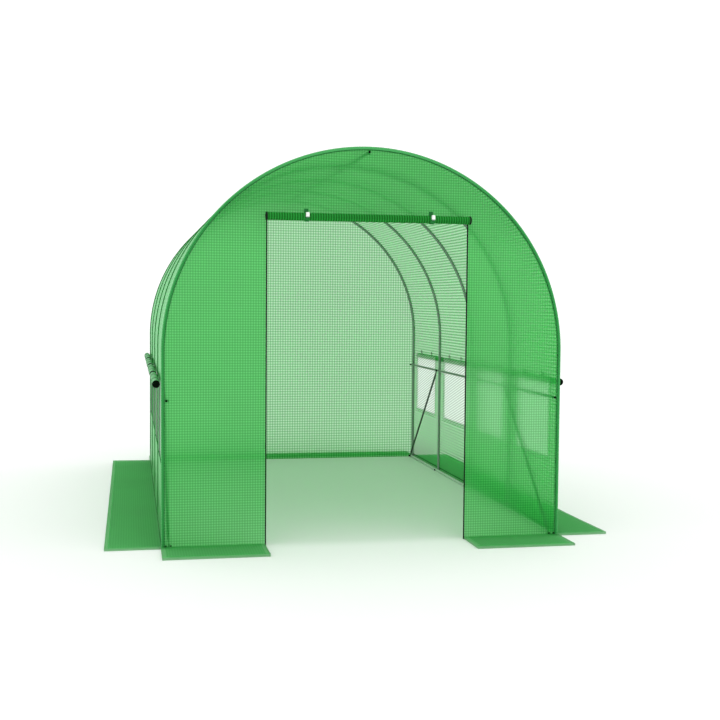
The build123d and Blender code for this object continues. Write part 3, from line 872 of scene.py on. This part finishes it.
class TUNNEL_OT_cover(TunnelOperator, bpy.types.Operator):
    """Makes the one-piece film over the walls and roof, with the window holes cut out"""
    bl_idname = "tunnel.cover"
    bl_label = "Cover"

    def execute(self, context):
        film = context.scene.tunnel_film
        # Clear green film whose level tapes show as rows, with a pale gloss where it is seen edge on. The
        # tapes are really 12.5 mm apart; on the far sheets they are drawn wider, so that they still show
        material = film_material(film, "cover_film", film.cover_pitch,
                                 (film.cover_cell, film.cover_cell_open),
                                 (film.cover_tape, film.cover_tape_open), shine=0.3, soft=0.1, cross=0.1,
                                 sheen=film.sheen, foot=film.foot_light)
        # Painted shade: over each tube the film is drawn darker and clears the light less, for the shade of
        # the hoop and its ridge
        fold_shade = film_material(film, "stretched_film", film.cover_pitch,
                                  (film.fold_shade_colour, film.doubled_and_shade_cell_open),
                                  (film.fold_shade_colour, film.doubled_and_shade_tape_open), shine=0.1, soft=0.1, cross=0.1)
        stops = [0, SILL, WINDOW_TOP, EAVES]
        across = ticks([*stops, *[GIRTH - s for s in reversed(stops)]], SHEET_STEP)
        folds = [y + film.fold_reach * part for y in HOOP_YS for part in (-1, -0.7, -0.35, 0.35, 0.7, 1)]
        edges = sorted({FRONT_Y, *HOOP_YS, *[y for span in WINDOWS for y in span], BACK_Y,
                        *[y for y in folds if HOOP_YS[0] < y < HOOP_YS[-1]]})
        # The strip over each hoop takes the second material, which carries the painted shade
        bm = grid_sheet(across, ticks(edges, SHEET_STEP), cover_point, lambda s, y: (y, s),
                        kept=lambda s, y: not in_window(s, y), slot_of=lambda s, y: int(hoop_drop(y) < 1))
        piece = finish("cover_sheet", bm, [material, fold_shade])
        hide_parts(*[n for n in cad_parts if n.startswith(("roof_", "wall_"))])
        return {"FINISHED"}


def gable_sheet(name, y, doorway, material):
    """A flat end sheet with the arch outline, cut into a grid, with the doorway left out."""
    outline = [(-SKIN, 0)]
    if doorway:
        outline += [(-DOOR_HALF, 0), (-DOOR_HALF, DOOR_TOP), (DOOR_HALF, DOOR_TOP), (DOOR_HALF, 0)]
    outline.append((SKIN, 0))
    for i in range(ARCH_STEPS + 1):
        angle = math.pi * i / ARCH_STEPS
        outline.append((SKIN * math.cos(angle), EAVES + SKIN * math.sin(angle)))
    bm = bmesh.new()
    bm.faces.new([bm.verts.new((x, y, z)) for x, z in outline])
    for axis, start, reach in ((Vector((1, 0, 0)), -SKIN, SKIN), (Vector((0, 0, 1)), 0, EAVES + SKIN)):
        for stop in ticks([start, reach], SHEET_STEP)[1:-1]:
            everything = bm.verts[:] + bm.edges[:] + bm.faces[:]
            bmesh.ops.bisect_plane(bm, geom=everything, plane_co=axis * stop, plane_no=axis)
    layer = bm.loops.layers.uv.new("UVMap")
    for face in bm.faces:
        for loop in face.loops:
            loop[layer].uv = (loop.vert.co.x, loop.vert.co.z)
    if y > 0:
        bmesh.ops.reverse_faces(bm, faces=bm.faces[:])
    return finish(name, bm, [material])


class TUNNEL_OT_ends(TunnelOperator, bpy.types.Operator):
    """Makes the front sheet with its doorway and the plain back sheet"""
    bl_idname = "tunnel.ends"
    bl_label = "End sheets"

    def execute(self, context):
        film = context.scene.tunnel_film
        # Milky green film: a fine even grid near the eye, with the frame blurred behind it
        front_film = film_material(film, "front_film", film.front_pitch, (film.cell_colour, film.cell_open),
                                   (film.tape_colour, film.tape_open), header=film.header_light)
        # The same film with the light behind it, so its cells look nearly white
        back_film = film_material(film, "back_film", film.back_pitch, (film.cover_cell, film.back_cell_open),
                                  (film.cover_tape, film.back_tape_open))
        front = gable_sheet("front_sheet", FRONT_Y + FILM_GAUGE / 2, True, front_film)
        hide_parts(*[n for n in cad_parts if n.startswith("front_")])
        back = gable_sheet("back_sheet", BACK_Y - FILM_GAUGE / 2, False, back_film)
        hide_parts("back_wall")
        return {"FINISHED"}


class TUNNEL_OT_skirts(TunnelOperator, bpy.types.Operator):
    """Lays the ground skirts round the foot of the cover, with their folded hems"""
    bl_idname = "tunnel.skirts"
    bl_label = "Ground skirts"

    def execute(self, context):
        film = context.scene.tunnel_film
        # The same film, dusty from the ground, so the low view along it shows no shine: plain green on the
        # skirt, with painted light on its edges, lighter on the rim and palest on the turned-down hem, where
        # light comes in from under it
        parts = (("skirt_film", (film.skirt_cell, film.skirt_cell_open),
                  (film.skirt_tape, film.skirt_tape_open)),
                 ("skirt_rim", (film.rim_light_colour, film.rim_cell_open), (film.rim_light_colour, film.rim_tape_open)),
                 ("skirt_hem", (film.hem_light_colour, film.hem_open), (film.hem_light_colour, film.hem_open)))
        surfaces = [film_material(film, name, film.front_pitch, cell, tape, shine=0.0)
                    for name, cell, tape in parts]
        drop = film.skirt_lift
        for name in sorted(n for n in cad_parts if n.startswith("skirt_")):
            low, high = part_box(name)
            start = Vector((low.x - drop, low.y - drop))
            end = Vector((high.x + drop, high.y + drop))
            # The side along the wall has no turned-down hem
            if high.x - low.x > high.y - low.y:
                start.y, end.y = (start.y, high.y) if low.y < 0 else (low.y, end.y)
            else:
                start.x, end.x = (start.x, high.x) if low.x < 0 else (low.x, end.x)
            # The rim runs round the three outer sides, not along the wall
            rim_low = Vector([low[i] + film.hem_width * (start[i] < low[i]) for i in range(2)])
            rim_high = Vector([high[i] - film.hem_width * (end[i] > high[i]) for i in range(2)])
            xs, ys = [ticks(sorted({start[i], low[i], rim_low[i], rim_high[i], high[i], end[i]}), SHEET_STEP)
                      for i in range(2)]

            def past_edge(x, y, low=low, high=high):
                return Vector((max(low.x - x, x - high.x, 0), max(low.y - y, y - high.y, 0)))

            def place(x, y, low=low, high=high, past_edge=past_edge):
                over = past_edge(x, y)
                spot = skirt_point(min(max(x, low.x), high.x), min(max(y, low.y), high.y))
                return Vector((spot.x, spot.y, max(spot.z - max(over), HEM_CLEAR)))

            def part(x, y, rim_low=rim_low, rim_high=rim_high, past_edge=past_edge):
                if max(past_edge(x, y)) > 0:
                    return 2
                return int(not (rim_low.x < x < rim_high.x and rim_low.y < y < rim_high.y))

            bm = grid_sheet(xs, ys, place, lambda x, y: (x, y),
                            kept=lambda x, y, past_edge=past_edge: min(past_edge(x, y)) == 0, slot_of=part)
            piece = finish(name + "_sheet", bm, surfaces)
            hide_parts(name)
        return {"FINISHED"}


def net_sheet(side, sign, net):
    """One side's window nets, set back behind the film."""
    film = bpy.context.scene.tunnel_film
    trim = bpy.context.scene.tunnel_trim
    low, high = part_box(f"window_nets_{side}")
    x = sign * (SKIN - film.hoop_ridge - trim.net_recess)
    spans = edges_along_y(f"window_nets_{side}")
    piece = flat_panels(f"window_net_{side}_sheet", [(x, span, (low.z, high.z)) for span in spans], net)
    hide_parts(f"window_nets_{side}")


class TUNNEL_OT_windows(TunnelOperator, bpy.types.Operator):
    """Makes the window nets, their edging, tabs and sill bindings, and the rolled flaps' caps and links"""
    bl_idname = "tunnel.windows"
    bl_label = "Windows"

    def execute(self, context):
        film = context.scene.tunnel_film
        trim = context.scene.tunnel_trim
        net = net_material(trim)
        paint(("window_rolls",), rolled_material("rolled_window_film", "Y", trim.flap_colour,
                                                 trim.flap_rib_colour, trim))
        # Woven polyester webbing, matt and nearly black against the light
        webbing = plain_material("tie_webbing", trim.tie_colour, 0.8, scale=300, shine=0.1)
        paint(("window_ties",), webbing)
        # Two layers of film sewn together, so that little light passes
        doubled = film_material(film, "edging_film", film.front_pitch,
                                (film.tape_colour, film.doubled_and_shade_cell_open),
                                (trim.roll_colour, film.doubled_and_shade_tape_open))
        caps = []
        links = []
        edging = []
        tabs = []
        sills = []
        for side, sign in SIDES.items():
            net_sheet(side, sign, net)
            rolls_low, rolls_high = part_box(f"window_rolls_{side}")
            middle = (rolls_low + rolls_high) / 2
            rolls = edges_along_y(f"window_rolls_{side}")
            gap = rolls[1][0] - rolls[0][1]
            links += [(Vector((middle.x, end, middle.z)), Vector((0, 1, 0))) for start, end in rolls[:-1]]
            for start, end in rolls:
                caps.append((Vector((middle.x, start, middle.z)), Vector((0, -1, 0))))
                caps.append((Vector((middle.x, end, middle.z)), Vector((0, 1, 0))))

            inside = sign * (SKIN - film.hoop_ridge - film.wall_sag - TAB_CLEAR)
            tab_low = rolls_high.z + TAB_GAP
            for y in TIE_YS:
                tabs.append((inside, (y - trim.tab_width / 2, y + trim.tab_width / 2),
                             (tab_low, tab_low + trim.tab_length)))

            face = sign * (SKIN - film.hoop_ridge + EDGING_PROUD)
            for start, end in WINDOWS:
                edging.append((face, (start - trim.edging, start), (SILL, WINDOW_TOP)))
                edging.append((face, (end, end + trim.edging), (SILL, WINDOW_TOP)))
                sills.append([Vector((face, start, SILL)), Vector((face, end, SILL))])

        sewn = flat_panels("tie_tabs", tabs, webbing)
        strips = flat_panels("window_edging", edging, doubled)
        # Moulded polypropylene, black and matt; the caps are drawn thick, so that their black also stands as
        # painted shade in the gaps between the rolls
        black = plain_material("moulded_black_cap", trim.black, 0.7, scale=80, shine=0.03)
        repeated_piece("window_roll_caps", point_seed("cap_seed", caps), fastener_group(), black,
                       {"Washer Radius": trim.cap_radius, "Washer Thickness": 11 * MM,
                        "Head Radius": trim.cap_radius * 0.3, "Head Height": 1.5 * MM, "Head Sides": 12})
        # A black sleeve carries each rolled flap on to the next; it fills the gap, so its black is also
        # painted shade there
        repeated_piece("window_roll_links", point_seed("link_seed", links), fastener_group(), black,
                       {"Washer Radius": trim.link_radius, "Washer Thickness": gap,
                        "Head Radius": trim.link_radius * 0.3, "Head Height": 1 * MM, "Head Sides": 12})
        # The net's overlocked edge shows as an uneven dark line under each window
        binding = plain_material("net_binding", trim.webbing_colour, 0.8, shine=0.1)
        repeated_piece("window_sill_binding", path_seed("sill_seed", sills), stitch_group(), binding,
                       {"Pitch": 14 * MM, "Length": 10 * MM, "Width": 3.5 * MM, "Height": 1.2 * MM})
        return {"FINISHED"}


def turned_mesh(bm, centre, profile, sides):
    """Adds a solid turned about Z to a bmesh; profile runs from its lower pole to its upper one."""
    angles = [2 * math.pi * i / sides for i in range(sides)]
    rings = [[bm.verts.new(centre + Vector((radius * math.cos(angle), radius * math.sin(angle), height)))
              for angle in angles] for radius, height in profile]
    for lower, upper in zip(rings, rings[1:]):
        for i in range(sides):
            j = (i + 1) % sides
            bm.faces.new((lower[i], lower[j], upper[j], upper[i]))
    bm.faces.new(list(reversed(rings[0])))
    bm.faces.new(rings[-1])


def toggle_barrels(trim):
    """The door's two toggles as barrels with rounded ends, each with its lower part grey-green as painted
    shade.
    """
    low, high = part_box("door_toggles")
    middle = (low + high) / 2
    radius = (high.y - low.y) / 2
    half = (high.z - low.z) / 2
    round_over = radius * 0.5
    profile = []
    for i in range(6):
        angle = math.pi / 2 * i / 5
        profile.append((radius - round_over * (1 - math.sin(angle)),
                        round_over * (1 - math.cos(angle)) - half))
    profile += [(r, -z) for r, z in reversed(profile)]
    bm = bmesh.new()
    for sign in (-1, 1):
        turned_mesh(bm, Vector((sign * (high.x - radius), middle.y, middle.z)), profile, 24)
    for face in bm.faces:
        # Painted shade: the faces of each toggle's lower part take the second, grey material
        face.material_index = int(face.calc_center_median().z < middle.z - half * 0.3)
    # Injection-moulded acetal, white and slightly glossy; the matt grey-green lower part is painted shade
    barrel = plain_material("moulded_toggle", trim.toggle_colour, 0.3, scale=30)
    shaded_lower_part = plain_material("toggle_cord_end", trim.toggle_shade_colour, 0.5)
    return finish("door_toggle_barrels", bm, [barrel, shaded_lower_part])


class TUNNEL_OT_door(TunnelOperator, bpy.types.Operator):
    """Finishes the rolled-up door, its straps and toggles and the zips"""
    bl_idname = "tunnel.door"
    bl_label = "Door"

    def execute(self, context):
        trim = context.scene.tunnel_trim
        # Zip tape is dull charcoal polyester; its moulded teeth are a little glossier
        tape = plain_material("zip_tape", trim.tape_colour, 0.75, scale=200, shine=0.1)
        tooth = plain_material("moulded_zip_tooth", trim.tooth_colour, 0.4, scale=200, shine=0.2)
        paint(("zip_", "door_zip_coils"), tape)
        paint(("door_roll",), rolled_material("rolled_door_film", "X", trim.roll_colour, trim.rib_colour,
                                              trim))
        # Woven polyester webbing, matt green with a faint weave
        strap = plain_material("strap_webbing", trim.webbing_colour, 0.8, scale=300, shine=0.2)
        paint(("door_straps",), strap)

        teeth = []
        for side in SIDES:
            low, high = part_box(f"zip_{side}")
            x = (low.x + high.x) / 2
            y = low.y - TRIM_PROUD
            teeth.append([Vector((x, y, low.z + 2 * MM)), Vector((x, y, high.z))])
        piece = repeated_piece("zip_teeth", path_seed("teeth_seed", teeth), stitch_group(), tooth,
                               {"Pitch": trim.tooth_pitch, "Length": 1.6 * MM, "Width": 4 * MM,
                                "Height": 1.6 * MM})

        toggles = toggle_barrels(trim)
        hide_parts("door_toggles")
        return {"FINISHED"}


class TUNNEL_OT_seams(TunnelOperator, bpy.types.Operator):
    """Sews the edges: seams, sleeves and bindings round the end arches, foot seams and skirt seams"""
    bl_idname = "tunnel.seams"
    bl_label = "Seams"

    def execute(self, context):
        film = context.scene.tunnel_film
        trim = context.scene.tunnel_trim
        # Spun polyester thread, matt and darker than the film that it crosses. Real stitches are about 4 mm
        # apart; they are drawn wider, so that they still show
        thread = plain_material("sewing_thread", trim.thread_colour, 0.8, scale=400, shine=0.2)
        stitches = stitch_group()
        stitch = {"Pitch": trim.stitch_pitch, "Length": trim.stitch_pitch * 0.72, "Width": 2.6 * MM,
                  "Height": 0.9 * MM}
        ends = ((FRONT_Y, -1), (BACK_Y, 1))
        # The seam runs beside the sleeve, on the side of the doorway
        seam_reach = HALF_WIDTH - trim.sleeve_width - SEAM_GAP
        arches = [arch_path(seam_reach, y + out * TRIM_PROUD) for y, out in ends]
        repeated_piece("arch_seams", path_seed("arch_seed", arches), stitches, thread, stitch)

        # The wall film is turned in and sewn just over the base rails
        foot_x = SKIN - 2 * MM
        foot_z = BASE_RAIL[1].z + trim.foot_seam
        feet = [[Vector((sign * foot_x, y, foot_z)) for y in (HOOP_YS[0], HOOP_YS[-1])]
                for sign in SIDES.values()]
        repeated_piece("foot_seams", path_seed("foot_seed", feet), stitches, thread,
                       {"Pitch": trim.stitch_pitch, "Length": trim.stitch_pitch * 0.9, "Width": 5 * MM,
                        "Height": 5 * MM})

        sleeve = sleeve_material(trim)
        for name, (y, out) in zip(("front_arch_sleeve", "back_arch_sleeve"), ends):
            bm = bmesh.new()
            outer, inner = [[bm.verts.new(p) for p in arch_path(HALF_WIDTH - reach, y + out * TRIM_PROUD)]
                            for reach in (SLEEVE_EDGE, trim.sleeve_width)]
            for i in range(len(outer) - 1):
                quad = (outer[i], outer[i + 1], inner[i + 1], inner[i])
                bm.faces.new(quad if out < 0 else tuple(reversed(quad)))
            band = finish(name, bm, [sleeve], smooth=False)

        # Folded tape round the edge of the end sheets: a pale green line with a slight gloss
        binding = plain_material("arch_binding", trim.binding_colour, 0.6, scale=90, shine=0.15)
        rims = [arch_path(HALF_WIDTH - BINDING_INSET, y + out * BINDING_PROUD) for y, out in ends]
        repeated_piece("arch_binding", path_seed("rim_seed", rims), stitches, binding,
                       {"Pitch": 8 * MM, "Length": 6 * MM, "Width": 5.5 * MM, "Height": 0.8 * MM})

        rows = []
        for name in sorted(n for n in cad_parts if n.startswith("skirt_")):
            low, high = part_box(name)
            away = min((high - low).xy) - film.hem_width
            if high.x - low.x > high.y - low.y:
                y = math.copysign(BACK_Y + away, low.y)
                row = [(x, y) for x in ticks([low.x, high.x], SHEET_STEP)]
            else:
                x = math.copysign(HALF_WIDTH + away, low.x)
                row = [(x, y) for y in ticks([low.y, high.y], SHEET_STEP)]
            rows.append([skirt_point(*spot) + Vector((0, 0, 0.5 * MM)) for spot in row])
        # Thread in the skirts' own green, so the hem's seam is a faint line
        pale_thread = plain_material("skirt_thread", film.skirt_tape, 0.8, scale=400, shine=0.1)
        repeated_piece("skirt_seams", path_seed("skirt_seed", rows), stitches, pale_thread, stitch)
        return {"FINISHED"}


class TUNNEL_OT_bolts(TunnelOperator, bpy.types.Operator):
    """Sets the frame's bolts, the screws at the purlins' ends and the pegs at the front corners"""
    bl_idname = "tunnel.bolts"
    bl_label = "Bolts"

    def execute(self, context):
        steel = context.scene.tunnel_steel
        trim = context.scene.tunnel_trim
        places = []
        for y in HOOP_YS:
            places.append((Vector((0, y, RIDGE_PURLIN[0].z)), Vector((0, 0, -1))))
            for sign in SIDES.values():
                inward = Vector((-sign, 0, 0))
                for low, high in (SIDE_PURLIN, BASE_RAIL):
                    places.append((Vector((sign * low.x, y, (low.z + high.z) / 2)), inward))
        for side, sign in SIDES.items():
            inward = Vector((-sign, 0, 0))
            for end, direction in (("front", -1), ("back", 1)):
                low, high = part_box(f"brace_{end}_{side}")
                face = low.x if sign > 0 else high.x
                flat_x = sign * (abs(face) + BRACE_SKEW)
                outer, inner = (low.y, high.y) if direction < 0 else (high.y, low.y)
                foot_y = outer - direction * steel.brace_hole
                head_y = inner + direction * steel.brace_hole
                places.append((Vector((flat_x, foot_y, low.z + steel.brace_hole)), inward))
                places.append((Vector((flat_x, head_y, high.z - steel.brace_hole)), inward))
        outward = Vector((0, -1, 0))
        ridge = (RIDGE_PURLIN[0] + RIDGE_PURLIN[1]) / 2
        purlin = (SIDE_PURLIN[0] + SIDE_PURLIN[1]) / 2
        screws = [(Vector((x, FRONT_Y, z)), outward)
                  for x, z in ((0, ridge.z), (purlin.x, purlin.z), (-purlin.x, purlin.z))]
        # Black-finished steel: dark points with hardly a highlight
        black = plain_material("blackened_bolt", steel.bolt_colour, 0.6, scale=200, shine=0.04)
        repeated_piece("purlin_end_screws", point_seed("screw_seed", screws), fastener_group(), black,
                       {"Washer Radius": steel.washer * 0.75, "Washer Thickness": 1 * MM,
                        "Head Radius": steel.bolt_head * 0.7, "Head Height": 2.5 * MM, "Head Sides": 12})
        repeated_piece("frame_bolts", point_seed("bolt_seed", places), fastener_group(), black,
                       {"Washer Radius": steel.washer, "Washer Thickness": 1.2 * MM,
                        "Head Radius": steel.bolt_head, "Head Height": steel.bolt_height, "Head Sides": 6})
        # A moulded peg pins the cover's front corners down; it is black and lies flat on the film
        peg_z = context.scene.tunnel_film.skirt_lift + 5 * MM
        pegs = [[Vector((sign * (HALF_WIDTH - inset), FRONT_Y - 3 * MM, peg_z)) for inset in PEG_INSETS]
                for sign in SIDES.values()]
        moulded = plain_material("moulded_peg", trim.black, 0.6, scale=80, shine=0.04)
        repeated_piece("corner_pegs", path_seed("peg_seed", pegs), stitch_group(), moulded,
                       {"Pitch": 12 * MM, "Length": 9 * MM, "Width": 4.5 * MM, "Height": 4.5 * MM})
        return {"FINISHED"}


OPERATORS = (TUNNEL_OT_stage, TUNNEL_OT_frame, TUNNEL_OT_cover, TUNNEL_OT_ends, TUNNEL_OT_skirts,
             TUNNEL_OT_windows, TUNNEL_OT_door, TUNNEL_OT_seams, TUNNEL_OT_bolts)


class TUNNEL_PT_panel(bpy.types.Panel):
    bl_label = "Polytunnel"
    bl_space_type = "VIEW_3D"
    bl_region_type = "UI"
    bl_category = "Polytunnel"

    def draw(self, context):
        for operator in OPERATORS:
            self.layout.operator(operator.bl_idname)


CLASSES = (TunnelFilm, TunnelSteel, TunnelTrim, TunnelStage, *OPERATORS, TUNNEL_PT_panel)


def register():
    for each in CLASSES:
        bpy.utils.register_class(each)
    bpy.types.Scene.tunnel_film = PointerProperty(type=TunnelFilm)
    bpy.types.Scene.tunnel_steel = PointerProperty(type=TunnelSteel)
    bpy.types.Scene.tunnel_trim = PointerProperty(type=TunnelTrim)
    bpy.types.Scene.tunnel_stage = PointerProperty(type=TunnelStage)


def unregister():
    del bpy.types.Scene.tunnel_film
    del bpy.types.Scene.tunnel_steel
    del bpy.types.Scene.tunnel_trim
    del bpy.types.Scene.tunnel_stage
    for each in reversed(CLASSES):
        bpy.utils.unregister_class(each)


def main():
    register()
    for operator in OPERATORS:
        group, name = operator.bl_idname.split(".")
        getattr(getattr(bpy.ops, group), name)()


if __name__ == "__main__":
    main()
